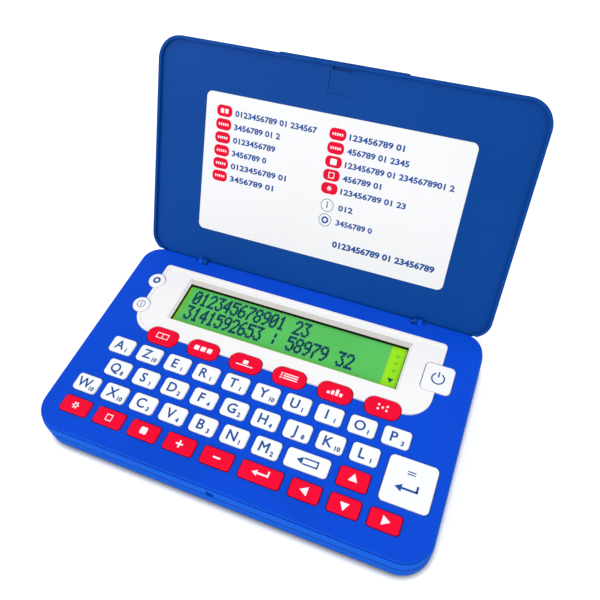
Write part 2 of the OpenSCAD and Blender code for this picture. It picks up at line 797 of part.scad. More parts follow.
// The lid without its lugs: plate, rim and thumb lip, less the recesses for the card and the catch.
module lid_shell() {
    difference() {
        union() {
            round_wall(lid_w, lid_start, lid_end, lid_hinge_r, lid_free_r) lid_section();
            translate([0, 0, -lid_t]) linear_extrude(lid_t)
                plate(-lid_w / 2 + plate_in, lid_start + plate_in, lid_w / 2 - plate_in, lid_end - plate_in,
                    lid_hinge_r - plate_in, lid_free_r - plate_in);
            translate([0, 0, -lip_low]) linear_extrude(lip_t) polygon([
                [-lip_half - 1.5, lid_end - 1], [-lip_half, lid_end + lip_out],
                [lip_half, lid_end + lip_out], [lip_half + 1.5, lid_end - 1]]);
        }
        translate([-corner_clear_x - lid_shift, lid_start - 1, eps])
            cube([2 * corner_clear_x, 1 + rim_start - lid_start, lid_room]);
        translate([-lid_w, lid_start - 1, eps])
            cube([2 * lid_w, 1 + corner_rim_start - lid_start, lid_room]);
        translate([card_x, card_y, -card_t - card_sink]) linear_extrude(lid_room)
            key_plan(card_w + 2 * card_gap, card_l + 2 * card_gap, card_r + card_gap);
        translate([catch_x - catch_w / 2, lid_end - catch_in, -catch_deep])
            cube([catch_w, catch_l, lid_room]);
        translate([catch_x - slot_w / 2, lid_end - slot_in, -slot_deep])
            cube([slot_w, slot_l, slot_deep + 0.5]);
    }
}

module lid() {
    color(lid_blue) in_lid() {
        translate([lid_shift, 0, 0]) lid_shell();
        for (s = [-1, 1]) lid_lug(s);
    }
}

// Lug that reaches from the lid to the hinge axis, with its pin.
module lid_lug(s) {
    r = knuckle_r - pin_gap;
    x = hinge_x - hinge_side_gap - knuckle_w;
    side_rod(s, x, 0, face_drop, r, knuckle_w);
    side_block(s, x, -r, -lug_sink, [knuckle_w, 2 * r, face_drop + lug_sink]);
    side_rod(s, hinge_x - 2 * hinge_side_gap, 0, face_drop, hinge_pin_r, knuckle_w + 3 * hinge_side_gap);
}

module lid_card() {
    color(key_white) in_lid() translate([lid_shift + card_x, card_y, -card_t])
        linear_extrude(card_t - card_sink) key_plan(card_w, card_l, card_r);
}

// A key cap with a rounded top edge: two crossed runs and four corner posts, on a flange and a stem.
module key_cap(k) {
    w = k[3];
    d = k[4];
    r = k[5];
    low = flange_top - eps;
    h = deck_z + key_up - low;
    color(k[6]) in_case() translate([k[1], k[2], 0]) {
        translate([0, 0, low]) {
            for (x = [-1, 1], y = [-1, 1]) translate([x * (w / 2 - r), y * (d / 2 - r), 0])
                rotate_extrude() cap_section(r, h);
            if (d > 2 * r) translate([0, d / 2 - r, 0]) rotate([90, 0, 0]) linear_extrude(d - 2 * r)
                for (m = [0, 1]) mirror([m, 0]) cap_section(w / 2, h);
            if (w > 2 * r) translate([-w / 2 + r, 0, 0]) rotate([90, 0, 90]) linear_extrude(w - 2 * r)
                for (m = [0, 1]) mirror([m, 0]) cap_section(d / 2, h);
        }
        translate([0, 0, flange_low]) linear_extrude(flange_t)
            key_plan(w + 2 * flange_out, d + 2 * flange_out, r + flange_out);
        translate([0, 0, stem_low]) cylinder(r = stem_r, h = stem_l + eps);
    }
}

// Half of a cap section, from its middle out to x = a.
module cap_section(a, h) {
    square([a, h - key_round]);
    square([a - key_round, h]);
    intersection() {
        translate([a - key_round, h - key_round]) circle(key_round);
        square([a, h]);
    }
}

bottom_case();
top_case();
screen_bezel();
lcd_panel();
keypad_membrane();
circuit_board();
battery_door();
coin_cells();
battery_contacts();
case_screws();
rubber_feet();
lid();
lid_card();
for (k = KEYS) key_cap(k);
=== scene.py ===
# %% [markdown]
# A pocket electronic dictionary, open on a pale table.
# The imported model holds every rigid piece at its real size: the case, the lid, the frame round the
# screen and all the keys. This script only adds looks: the finish of each moulded piece, the
# printing on the keys, the screen's contents and the printed card. So the first step loads the
# imported model, which never moves.

# %% Load the imported model
import json
import math
import bmesh
import bpy
from mathutils import Matrix, Vector


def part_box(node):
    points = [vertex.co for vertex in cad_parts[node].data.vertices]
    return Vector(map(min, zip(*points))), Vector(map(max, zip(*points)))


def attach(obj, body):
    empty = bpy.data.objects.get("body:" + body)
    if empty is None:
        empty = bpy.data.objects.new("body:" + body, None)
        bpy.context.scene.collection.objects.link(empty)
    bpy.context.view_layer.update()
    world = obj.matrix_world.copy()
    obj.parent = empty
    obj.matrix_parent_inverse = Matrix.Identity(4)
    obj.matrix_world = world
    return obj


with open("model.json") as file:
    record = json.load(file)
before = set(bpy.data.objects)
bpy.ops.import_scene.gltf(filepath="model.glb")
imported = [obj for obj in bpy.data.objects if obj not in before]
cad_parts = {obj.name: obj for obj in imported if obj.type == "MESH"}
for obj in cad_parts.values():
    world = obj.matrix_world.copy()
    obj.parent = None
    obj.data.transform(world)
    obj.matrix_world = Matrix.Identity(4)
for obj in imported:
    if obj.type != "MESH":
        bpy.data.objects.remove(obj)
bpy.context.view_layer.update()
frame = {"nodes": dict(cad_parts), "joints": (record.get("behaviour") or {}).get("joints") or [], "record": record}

MM = 0.001
nodes = frame["nodes"]

# %% [markdown]
# The camera stands over the right hand side of the keyboard and looks down and to the left, so the
# long edges run downhill in the picture. It could follow a target object, but four plain values say
# as much: where it stands, the point on the deck that it looks at, how far it is rolled about its
# own line of sight, and its focal length.

# %% Camera
CAMERA_PLACE = Vector((60.39, -110.513, 201.94)) * MM
CAMERA_AIM = Vector((-0.20, 15.247, 14.3)) * MM
CAMERA_ROLL = math.radians(-5.088)
CAMERA_LENS = 36.41
SENSOR_WIDTH = 36
NEAREST, FURTHEST = 0.01, 20


def make_camera():
    data = bpy.data.cameras.new("camera")
    data.sensor_width = SENSOR_WIDTH
    data.lens = CAMERA_LENS
    data.clip_start = NEAREST
    data.clip_end = FURTHEST
    camera = bpy.data.objects.new("camera", data)
    bpy.context.scene.collection.objects.link(camera)
    look = (CAMERA_AIM - CAMERA_PLACE).to_track_quat("-Z", "Y").to_matrix()
    rolled = look @ Matrix.Rotation(CAMERA_ROLL, 3, "Z")
    camera.matrix_world = Matrix.Translation(CAMERA_PLACE) @ rolled.to_4x4()
    bpy.context.scene.camera = camera


make_camera()
bpy.context.scene.view_settings.view_transform = "Standard"
print("camera at", [round(v, 3) for v in CAMERA_PLACE])

# %% [markdown]
# Studio light for a product picture is large and soft, so a pale world lights every side. The world
# could have one colour, but it would have to serve as the light, as the backdrop and as what the
# plastics mirror, and satin plastic looks grey under a white dome. Light Path tells what kind of ray
# is asking, so the world is split in three: it lights the scene, it is dim for mirror-like rays, and
# it is plain white where the camera looks past the floor.

# %% World
WORLD_LEVEL = 0.84
WORLD_TINT = (0.97, 0.985, 1.0, 1)
MIRROR_LEVEL = 0.16
PURE_WHITE = (1, 1, 1, 1)


def add(tree, kind, values=None, **options):
    """A new node with its options, such as its operation, and the values of its own sockets."""
    node = tree.nodes.new(kind)
    for name, option in options.items():
        setattr(node, name, option)
    for socket, value in (values or {}).items():
        node.inputs[socket].default_value = value
    return node


def link(tree, out_node, out_name, in_node, in_name):
    tree.links.new(out_node.outputs[out_name], in_node.inputs[in_name])


def make_world():
    world = bpy.data.worlds.new("studio")
    world.use_nodes = True
    tree = world.node_tree
    tree.nodes.clear()
    out = add(tree, "ShaderNodeOutputWorld")
    path = add(tree, "ShaderNodeLightPath")
    light = add(tree, "ShaderNodeBackground", {"Color": WORLD_TINT, "Strength": WORLD_LEVEL})
    mirrored = add(tree, "ShaderNodeBackground", {"Color": PURE_WHITE, "Strength": MIRROR_LEVEL})
    backdrop = add(tree, "ShaderNodeBackground", {"Color": PURE_WHITE, "Strength": 1})
    dim = add(tree, "ShaderNodeMixShader")
    link(tree, path, "Is Glossy Ray", dim, 0)
    link(tree, light, 0, dim, 1)
    link(tree, mirrored, 0, dim, 2)
    seen = add(tree, "ShaderNodeMixShader")
    link(tree, path, "Is Camera Ray", seen, 0)
    link(tree, dim, 0, seen, 1)
    link(tree, backdrop, 0, seen, 2)
    link(tree, seen, 0, out, 0)
    bpy.context.scene.world = world


make_world()
print("world lights at", WORLD_LEVEL, "and is mirrored at", MIRROR_LEVEL)

# %% [markdown]
# The table is a plain pale floor. More light would turn it white, but the object would go pale too,
# so the floor gives the camera a little light of its own instead, and its wide soft shadows stay
# white. Ambient occlusion asks how much stands close by. Next to the case it takes that light away
# and darkens the floor's own colour too, a painted contact shadow: the thin dark line where the
# object meets the table. The floor is dim for mirror-like rays as the world is, or the case's front
# would shine with it.

# %% Floor
FLOOR_HALF = 3.0
FLOOR_WHITE = 0.92
FLOOR_ROUGH = 0.9
FLOOR_GLOW = 0.42
CONTACT_REACH = 3 * MM
CONTACT_CLOSED, CONTACT_OPEN = 0.42, 0.88
CONTACT_SHADE = 0.12
CONTACT_SAMPLES = 8


def grey(level):
    return (level, level, level, 1)


def open_floor(tree):
    """1 on the open floor, and down to CONTACT_SHADE close to what stands on it."""
    near = add(tree, "ShaderNodeAmbientOcclusion", {"Distance": CONTACT_REACH}, samples=CONTACT_SAMPLES)
    level = add(tree, "ShaderNodeMapRange",
                {"From Min": CONTACT_CLOSED, "From Max": CONTACT_OPEN, "To Min": CONTACT_SHADE})
    link(tree, near, "AO", level, 0)
    return level


def floor_material():
    material = bpy.data.materials.new("floor_white")
    material.use_nodes = True
    tree = material.node_tree
    shader = tree.nodes["Principled BSDF"]
    shader.inputs["Roughness"].default_value = FLOOR_ROUGH
    shader.inputs["Specular IOR Level"].default_value = 0.0
    shader.inputs["Emission Color"].default_value = PURE_WHITE
    path = add(tree, "ShaderNodeLightPath")
    level = open_floor(tree)
    white = add(tree, "ShaderNodeMix", {"A": grey(FLOOR_WHITE), "B": grey(FLOOR_WHITE * MIRROR_LEVEL)},
                data_type="RGBA")
    link(tree, path, "Is Glossy Ray", white, "Factor")
    # The floor's colour is scaled down next to the case too: a painted contact shadow.
    shaded = add(tree, "ShaderNodeVectorMath", operation="SCALE")
    link(tree, white, "Result", shaded, 0)
    link(tree, level, 0, shaded, "Scale")
    link(tree, shaded, 0, shader, "Base Color")
    seen = add(tree, "ShaderNodeMath", operation="MULTIPLY")
    link(tree, path, "Is Camera Ray", seen, 0)
    link(tree, level, 0, seen, 1)
    glow = add(tree, "ShaderNodeMath", {1: FLOOR_GLOW}, operation="MULTIPLY")
    link(tree, seen, 0, glow, 0)
    link(tree, glow, 0, shader, "Emission Strength")
    return material


def make_floor():
    corners = [(x * FLOOR_HALF, y * FLOOR_HALF, 0) for x, y in ((-1, -1), (1, -1), (1, 1), (-1, 1))]
    mesh = bpy.data.meshes.new("floor")
    mesh.from_pydata(corners, [], [(0, 1, 2, 3)])
    mesh.materials.append(floor_material())
    floor = bpy.data.objects.new("floor", mesh)
    bpy.context.scene.collection.objects.link(floor)


make_floor()
print("floor half width in m", FLOOR_HALF)

# %% [markdown]
# Two lamps add a little direction to the world's even light. They could be suns or spots, but a
# large disc gives the soft edges of a studio's soft box. The main one stands in front and to the
# left, so the front band of the case is lighter than its deck, and a weak one fills from the right.

# %% Lamps
LAMP_AIM = Vector((0, 0, 0.02))
MAIN_PLACE, MAIN_SIZE, MAIN_POWER = Vector((-0.55, -0.85, 0.75)), 0.9, 4.6
FILL_PLACE, FILL_SIZE, FILL_POWER = Vector((0.6, 0.1, 0.8)), 0.8, 1.0


def make_lamp(name, place, size, power):
    data = bpy.data.lights.new(name, "AREA")
    data.shape = "DISK"
    data.size = size
    data.energy = power
    lamp = bpy.data.objects.new(name, data)
    lamp.location = place
    lamp.rotation_euler = (LAMP_AIM - place).to_track_quat("-Z", "Y").to_euler()
    bpy.context.scene.collection.objects.link(lamp)


make_lamp("main_lamp", MAIN_PLACE, MAIN_SIZE, MAIN_POWER)
make_lamp("fill_lamp", FILL_PLACE, FILL_SIZE, FILL_POWER)

# %% [markdown]
# Every finish starts from a colour and from noise. Colours are written as a screen shows them, since
# that is how they are compared with a photograph, and one function turns them into the linear values
# that a shader wants. The unevenness of real surfaces could come from painted images, but noise in
# the object's own coordinates needs none and sits still on the piece when it moves.

# %% Colours and noise
NOISE_LOW, NOISE_HIGH = 0.3, 0.7


def rgb(r, g, b):
    """A colour as a screen shows it, made linear by the curve that screens follow."""
    def straight(v):
        v /= 255
        return v / 12.92 if v <= 0.04045 else ((v + 0.055) / 1.055) ** 2.4
    return (straight(r), straight(g), straight(b), 1)


def scaled(colour, factor):
    return (colour[0] * factor, colour[1] * factor, colour[2] * factor, 1)


def noise(tree, coords, scale):
    node = add(tree, "ShaderNodeTexNoise", {"Scale": scale})
    link(tree, coords, "Object", node, "Vector")
    return node


def spread(tree, source, low, high):
    """Maps the middle range of a noise onto low..high."""
    node = add(tree, "ShaderNodeMapRange",
               {"From Min": NOISE_LOW, "From Max": NOISE_HIGH, "To Min": low, "To Max": high})
    link(tree, source, 0, node, 0)
    return node


print("half grey on a screen is, as light,", round(rgb(128, 128, 128)[0], 3))

# %% [markdown]
# Some light and shade on this object is painted into its colours, by the way a face looks or the
# height that it lies at. The sides of the case are painted a lighter blue than its deck, a painted
# light, and the slope behind the screen is painted greyer than the rest of the white frame, a painted
# shade. Painted shade also darkens the line where the two halves of the case meet, and another line
# under the deck's edge. Separate materials on separate faces would need the imported mesh to change,
# so nodes tell the faces apart by their normal, and the lines by their height.

# %% Painted light on the sides, painted shade in the seams
SEAM_REACH = 0.5 * MM
SEAM_LEVEL = 0.3


def facing(tree, coords, way, low, high):
    """0 to 1 as a face turns towards way, a direction in the object's own coordinates."""
    turned = add(tree, "ShaderNodeVectorMath", {1: way}, operation="DOT_PRODUCT")
    link(tree, coords, "Normal", turned, 0)
    share = add(tree, "ShaderNodeMapRange", {"From Min": low, "From Max": high})
    link(tree, turned, "Value", share, 0)
    return share


def seam_shade(tree, coords, heights):
    """A painted shade: 1 away from the seams, and down to SEAM_LEVEL at the heights that they run at."""
    place = add(tree, "ShaderNodeSeparateXYZ")
    link(tree, coords, "Object", place, 0)
    nearest = None
    for height in heights:
        above = add(tree, "ShaderNodeMath", {1: height}, operation="SUBTRACT")
        link(tree, place, "Z", above, 0)
        distance = add(tree, "ShaderNodeMath", operation="ABSOLUTE")
        link(tree, above, 0, distance, 0)
        if nearest:
            least = add(tree, "ShaderNodeMath", operation="MINIMUM")
            link(tree, nearest, 0, least, 0)
            link(tree, distance, 0, least, 1)
            distance = least
        nearest = distance
    level = add(tree, "ShaderNodeMapRange",
                {"From Min": SEAM_REACH / 2, "From Max": SEAM_REACH, "To Min": SEAM_LEVEL})
    link(tree, nearest, 0, level, 0)
    return level


print("seam shade reaches mm", SEAM_REACH / MM)

# %% [markdown]
# Moulded plastic is not one flat colour: its pigment is a touch uneven. One colour on the shader
# would do at a glance, but noise that moves it a few per cent up and down looks more like the real
# thing. A noise of scale 28 has clouds about a 28th of a metre wide, and all the scales here were
# chosen in that way. The painted light of the sides and the painted shade of the seams come on top,
# where a piece has them.

# %% Pigment
CLOUD_SCALE = 28


def pigment(tree, coords, colour, uneven, second, seams):
    """The socket that gives the colour of a plastic all over the piece, with its painted light and shade on top.
    """
    tint = add(tree, "ShaderNodeMix", {"A": scaled(colour, 1 - uneven), "B": scaled(colour, 1 + uneven)},
               data_type="RGBA")
    link(tree, spread(tree, noise(tree, coords, CLOUD_SCALE), 0, 1), 0, tint, "Factor")
    result = tint.outputs["Result"]
    if second:
        other, way, low, high = second
        blend = add(tree, "ShaderNodeMix", {"B": other}, data_type="RGBA")
        link(tree, facing(tree, coords, way, low, high), 0, blend, "Factor")
        tree.links.new(result, blend.inputs["A"])
        result = blend.outputs["Result"]
    if seams:
        shaded = add(tree, "ShaderNodeVectorMath", operation="SCALE")
        tree.links.new(result, shaded.inputs[0])
        link(tree, seam_shade(tree, coords, seams), 0, shaded, "Scale")
        result = shaded.outputs[0]
    return result


print("clouds in the pigment, in mm across", round(1 / CLOUD_SCALE / MM))

# %% [markdown]
# The gloss of a moulded piece wanders a little over a thumb's width, and use adds fine scratches.
# Scratches could be modelled as grooves, but real ones show only as dull streaks, so both are
# roughness. A noise that is squeezed along two of its axes and left long on the third gives streaks.

# %% Worn gloss
GLOSS_SCALE = 60
GLOSS_SPREAD = 0.05
SCRATCH_SCALE = 60
SCRATCH_TURN = (0.3, 0.2, 0.7)
SCRATCH_STRETCH = (1, 45, 12)
SCRATCH_LOW, SCRATCH_HIGH = 0.62, 0.68
SCRATCH_ROUGH = 0.08


def worn_gloss(tree, coords, rough):
    """Roughness that wanders about its mean and rises along fine scratches."""
    gloss = spread(tree, noise(tree, coords, GLOSS_SCALE), rough - GLOSS_SPREAD, rough + GLOSS_SPREAD)
    drawn_out = add(tree, "ShaderNodeMapping", {"Rotation": SCRATCH_TURN, "Scale": SCRATCH_STRETCH})
    link(tree, coords, "Object", drawn_out, "Vector")
    scratch = add(tree, "ShaderNodeTexNoise", {"Scale": SCRATCH_SCALE})
    link(tree, drawn_out, 0, scratch, "Vector")
    lines = add(tree, "ShaderNodeMapRange",
                {"From Min": SCRATCH_LOW, "From Max": SCRATCH_HIGH, "To Max": SCRATCH_ROUGH})
    link(tree, scratch, 0, lines, 0)
    total = add(tree, "ShaderNodeMath", operation="ADD")
    link(tree, gloss, 0, total, 0)
    link(tree, lines, 0, total, 1)
    return total


print("clouds in the gloss, in mm across", round(1 / GLOSS_SCALE / MM))

# %% [markdown]
# The steel mould leaves a fine grain on what it makes. Here it is a bump far too fine to see as
# relief: it only breaks up the reflections. Each plastic could have a material of its own, but they
# differ only in colour, gloss and grain, so one function makes them all.

# %% Moulded plastic
PLASTIC_IOR = 1.5
GRAIN = 0.02 * MM
GRAIN_STRENGTH = 0.6


def moulded(name, colour, rough=0.38, grain=GRAIN, grain_scale=2600, uneven=0.06, mirror=0.3,
            second=None, seams=None):
    """Moulded plastic.

    rough is its mean roughness, grain and grain_scale the height and fineness of the mould's grain,
    uneven the spread of the pigment, and mirror the specular level. second is another colour, the
    way that its faces look, and the limits between which the first colour turns into it: a painted
    light or a painted shade. seams are the heights of lines that hold painted shade.
    """
    material = bpy.data.materials.new(name)
    material.use_nodes = True
    tree = material.node_tree
    shader = tree.nodes["Principled BSDF"]
    shader.inputs["IOR"].default_value = PLASTIC_IOR
    shader.inputs["Specular IOR Level"].default_value = mirror
    coords = add(tree, "ShaderNodeTexCoord")
    tree.links.new(pigment(tree, coords, colour, uneven, second, seams), shader.inputs["Base Color"])
    link(tree, worn_gloss(tree, coords, rough), 0, shader, "Roughness")
    bump = add(tree, "ShaderNodeBump", {"Distance": grain, "Strength": GRAIN_STRENGTH})
    link(tree, noise(tree, coords, grain_scale), 0, bump, "Height")
    link(tree, bump, 0, shader, "Normal")
    return material


print("height of the grain in mm", round(GRAIN / MM, 3))

# %% [markdown]
# The finishes by piece. The two halves of the case are one deep blue, the lid a darker one, and the
# keys are bright white or red with a little more gloss. The inks, the card, the rubber feet, the
# foam round the screen, whose black also paints the shade there, and the silicone sheet under the
# keys are no ABS, but the same function serves them: only its values change.

# %% Finishes of the plastics
CASE_BLUE = rgb(2, 74, 212)
PAINTED_LIGHT_BLUE = rgb(2, 100, 228)
LID_BLUE = rgb(3, 69, 151)
FRAME_WHITE = rgb(250, 249, 248)
PAINTED_SHADE_GREY = rgb(208, 203, 198)
KEY_WHITE = rgb(251, 252, 253)
KEY_RED = rgb(246, 0, 50)
CARD_WHITE = rgb(243, 243, 243)
INK_BLUE = rgb(26, 84, 162)
INK_WHITE = rgb(255, 246, 250)
FOOT_BLACK = rgb(30, 30, 32)
FOAM_AND_SHADE_BLACK = rgb(10, 14, 12)
SHEET_GREY = rgb(190, 192, 198)

# A painted light: as a face looks less and less up, the deck's blue turns into the sides' lighter
# blue. A painted shade, the other way round: the frame turns greyer only where it looks the way of
# the slope behind the screen.
UP = (0, 0, 1)
CASE_SIDE_PAINTED_LIGHT = (PAINTED_LIGHT_BLUE, UP, 0.8, 0.3)
BACK_SLOPE = (0, -0.57, 0.82)
FRAME_PAINTED_SHADE = (PAINTED_SHADE_GREY, BACK_SLOPE, 0.9, 0.97)
# Heights of the painted shade: the seam between the halves of the case and the line under the deck's edge.
SEAM_HEIGHT = 8.1 * MM
UNDER_DECK_SHADE_HEIGHT = 13.2 * MM

# The case's sides carry a painted light, and its seams a painted shade.
case_plastic = moulded("case_plastic", CASE_BLUE, rough=0.42, grain_scale=3200, mirror=0.08,
                       second=CASE_SIDE_PAINTED_LIGHT, seams=(SEAM_HEIGHT, UNDER_DECK_SHADE_HEIGHT))
lid_plastic = moulded("lid_plastic", LID_BLUE, rough=0.45, grain_scale=3200, mirror=0.08)
# The frame's slope behind the screen carries a painted shade.
frame_plastic = moulded("frame_plastic", FRAME_WHITE, rough=0.32, uneven=0.01, second=FRAME_PAINTED_SHADE)
white_key_plastic = moulded("white_key_plastic", KEY_WHITE, rough=0.36, uneven=0.01)
red_key_plastic = moulded("red_key_plastic", KEY_RED, rough=0.34, uneven=0.03, mirror=0.1)
card_stock = moulded("card_stock", CARD_WHITE, rough=0.5, grain_scale=1400, uneven=0.01)
legend_blue = moulded("legend_blue", INK_BLUE, rough=0.5, uneven=0.05, mirror=0.15)
legend_white = moulded("legend_white", INK_WHITE, rough=0.5, uneven=0.01)
foot_rubber = moulded("foot_rubber", FOOT_BLACK, rough=0.75, grain_scale=1800)
# The foam's black also stands for the shade under the frame: a painted shade.
foam_and_painted_shade = moulded("foam_and_painted_shade", FOAM_AND_SHADE_BLACK, rough=0.8, grain=3 * GRAIN, grain_scale=1500)
silicone = moulded("silicone", SHEET_GREY, rough=0.6)
print("finishes", [m.name for m in bpy.data.materials if m.use_nodes])

# %% [markdown]
# A few pieces are metal or board. The coin cells are turned steel, the contacts are plated spring
# strip, the screws are zinc plated, and the board is green solder resist. The screws show only from
# below and the others hardly at all, so plain grey would nearly do, but they get finishes of their
# own all the same. The brushing is one noise drawn out along x, for the gloss and a very low bump.

# %% Metals and board
BRUSH_SCALE = 1500
BRUSH_SPREAD = 0.08
BRUSH_DEPTH = 0.01 * MM
STEEL_GREY = (0.62, 0.63, 0.64, 1)
PLATING_GOLD = (0.70, 0.63, 0.42, 1)
ZINC_GREY = (0.55, 0.56, 0.58, 1)
BOARD_GREEN = rgb(24, 112, 58)


def metal(name, colour, rough, squeeze):
    """Metal with fine brushing along x: the smaller squeeze is, the longer its lines."""
    material = bpy.data.materials.new(name)
    material.use_nodes = True
    tree = material.node_tree
    shader = tree.nodes["Principled BSDF"]
    shader.inputs["Metallic"].default_value = 1
    shader.inputs["Base Color"].default_value = colour
    coords = add(tree, "ShaderNodeTexCoord")
    drawn_out = add(tree, "ShaderNodeMapping", {"Scale": (squeeze, 1, 1)})
    link(tree, coords, "Object", drawn_out, "Vector")
    lines = add(tree, "ShaderNodeTexNoise", {"Scale": BRUSH_SCALE})
    link(tree, drawn_out, 0, lines, "Vector")
    link(tree, spread(tree, lines, rough - BRUSH_SPREAD, rough + BRUSH_SPREAD), 0, shader, "Roughness")
    bump = add(tree, "ShaderNodeBump", {"Distance": BRUSH_DEPTH})
    link(tree, lines, 0, bump, "Height")
    link(tree, bump, 0, shader, "Normal")
    return material


cell_steel = metal("cell_steel", STEEL_GREY, 0.28, 0.05)
contact_plate = metal("contact_plate", PLATING_GOLD, 0.3, 0.1)
screw_zinc = metal("screw_zinc", ZINC_GREY, 0.35, 1)
board_green = moulded("board_green", BOARD_GREEN, rough=0.3, grain_scale=900, uneven=0.15)
print("metals", [m.name for m in (cell_steel, contact_plate, screw_zinc)])

# %% [markdown]
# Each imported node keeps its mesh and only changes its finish. The finish could be set piece by
# piece, but one table says it all at a glance: which piece has which finish. The keys aren't in it,
# because the record already tells a white key from a red one.

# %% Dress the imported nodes
FINISH = {
    "bottom_case": case_plastic, "top_case": case_plastic, "battery_door": case_plastic,
    "lid": lid_plastic, "screen_bezel": frame_plastic, "lid_card": card_stock,
    "keypad_membrane": silicone, "circuit_board": board_green, "coin_cells": cell_steel,
    "battery_contacts": contact_plate, "case_screws": screw_zinc, "rubber_feet": foot_rubber,
}
KEY_FINISH = {"key_white": white_key_plastic, "key_red": red_key_plastic}
for row in frame["record"]["subparts"]:
    if row["material_slot"] in KEY_FINISH:
        FINISH[row["node"]] = KEY_FINISH[row["material_slot"]]


def dress(node, material):
    mesh = nodes[node].data
    mesh.materials.clear()
    mesh.materials.append(material)


for name, material in FINISH.items():
    dress(name, material)
print("dressed", len(FINISH), "nodes")

# %% [markdown]
# Printing is a thin film of ink. It could be an image on the surface, but an image blurs up close
# and needs a file, so each mark is a real thin plate, 0.03 mm high, cut to the outline of the mark.
# A mark starts as flat outlines in millimetres about its own middle. Bars, discs, triangles and
# bars with round corners are enough for most of the small pictures.

# %% Outlines of marks
CORNER_STEPS = 6
LEFTWARD, RIGHTWARD, UPWARD, DOWNWARD = 180, 0, 90, 270


def around(r, angle, x=0.0, y=0.0):
    """The point at a distance and an angle in degrees from x, y."""
    turn = math.radians(angle)
    return Vector((x + r * math.cos(turn), y + r * math.sin(turn)))


def bar(w, h, x=0.0, y=0.0, turn=0.0):
    points = [Vector((sx * w / 2, sy * h / 2)) for sx, sy in ((-1, -1), (1, -1), (1, 1), (-1, 1))]
    spin = Matrix.Rotation(math.radians(turn), 2)
    return [spin @ p + Vector((x, y)) for p in points]


def disc(r, x=0.0, y=0.0, sides=24, start=0.0):
    return [around(r, start + 360 * i / sides, x, y) for i in range(sides)]


def arrow_head(size, turn, x=0.0, y=0.0):
    return disc(size, x, y, sides=3, start=turn)


def soft_bar(w, h, r, x=0.0, y=0.0):
    """A bar with round corners."""
    points = []
    for sx, sy, first in ((1, 1, 0), (-1, 1, 90), (-1, -1, 180), (1, -1, 270)):
        middle = (x + sx * (w / 2 - r), y + sy * (h / 2 - r))
        points += [around(r, first + 90 * i / CORNER_STEPS, *middle) for i in range(CORNER_STEPS + 1)]
    return points


print("points of a soft bar", len(soft_bar(2, 2, 0.5)))

# %% [markdown]
# Rings, stars and hollow squares need more than one outline. A boolean could cut the hole of a ring,
# but small pieces side by side close up just as well and always give clean faces. So a ring is a row
# of short pieces, and a star and a hollow square are a few bars.

# %% Marks of several outlines
RING_STEP = 12
SIDES = (-1, 1)


def ring(outer, inner, x=0.0, y=0.0, first=0.0, sweep=360.0):
    """A ring, or an arc of one, as a row of small outlines that share their edges."""
    steps = round(sweep / RING_STEP)
    angles = [first + sweep * i / steps for i in range(steps + 1)]
    return [[around(inner, a, x, y), around(outer, a, x, y), around(outer, b, x, y), around(inner, b, x, y)]
            for a, b in zip(angles, angles[1:])]


def star(length, stroke, x=0.0, y=0.0):
    """Three bars laid across each other."""
    return [bar(length, stroke, x, y, turn) for turn in (0, 60, 120)]


def hollow_square(size, stroke, x=0.0, y=0.0):
    offset = (size - stroke) / 2
    level = [bar(size, stroke, x, y + side * offset) for side in SIDES]
    upright = [bar(stroke, size - 2 * stroke, x + side * offset, y) for side in SIDES]
    return level + upright


print("pieces of a ring", len(ring(2, 1)))

# %% [markdown]
# An outline becomes a plate as high as the film of ink. A curve with an extrusion would do it too,
# but it is as simple to write the faces out: one below, one above, and a side for every edge. Points
# that fall on each other are welded, which closes up the pieces of a ring.

# %% Plates of ink
INK = 0.03
WELD = 1e-5


def ink_mesh(outlines):
    """One mesh of thin plates from flat outlines in millimetres."""
    bm = bmesh.new()
    for outline in outlines:
        low = [bm.verts.new((p.x, p.y, 0)) for p in outline]
        high = [bm.verts.new((p.x, p.y, INK)) for p in outline]
        bm.faces.new(list(reversed(low)))
        bm.faces.new(high)
        for i in range(len(outline)):
            bm.faces.new((low[i - 1], low[i], high[i], high[i - 1]))
    bmesh.ops.remove_doubles(bm, verts=bm.verts, dist=WELD)
    bmesh.ops.recalc_face_normals(bm, faces=bm.faces)
    mesh = bpy.data.meshes.new("ink")
    bm.to_mesh(mesh)
    bm.free()
    return mesh


print("ink height in mm", INK)

# %% [markdown]
# Letters come from Blender's own font, which needs no file. The real strokes are bolder than the
# font's. Moving the outline outwards would tear the sharp inner corners of an M, so a bevel makes
# the strokes bolder and is then pressed flat. CAPITAL is the height of a capital in that font at
# size 1, and BOLD is how far a stroke grows to each side, in millimetres.

# %% Letters of ink
CAPITAL = 0.682
BOLD = 0.1
CURVE_STEPS = 3


def letter_mesh(text, size, x=0.0, y=0.0, bold=BOLD, width=None):
    """Letters or digits with the middle of the capitals at x, y.

    size is the height of a capital, bold how far the strokes grow, and width, if given, the width
    that the whole text is fitted to. All are in millimetres.
    """
    data = bpy.data.curves.new("letters", "FONT")
    data.body = text
    data.size = size / CAPITAL
    data.bevel_depth = bold
    data.bevel_resolution = 0
    data.resolution_u = CURVE_STEPS
    holder = bpy.data.objects.new("letters", data)
    bpy.context.scene.collection.objects.link(holder)
    bpy.context.view_layer.update()
    shaped = holder.evaluated_get(bpy.context.evaluated_depsgraph_get())
    mesh = bpy.data.meshes.new_from_object(shaped)
    bpy.data.objects.remove(holder)
    left = min(v.co.x for v in mesh.vertices)
    right = max(v.co.x for v in mesh.vertices)
    stretch = width / (right - left) if width else 1.0
    fit = Matrix.Diagonal((stretch, 1, INK / 2 / bold, 1))
    mesh.transform(Matrix.Translation((x, y - size / 2, INK / 2)) @ fit
                   @ Matrix.Translation((-(left + right) / 2, 0, 0)))
    return mesh


print("font size for capitals 1 mm high", round(1 / CAPITAL, 3))

# %% [markdown]
# Each letter could be an object of its own, but a key's printing is one job on the real key, so its
# plates and letters are joined into one piece. The piece rides on the body that it is printed on.

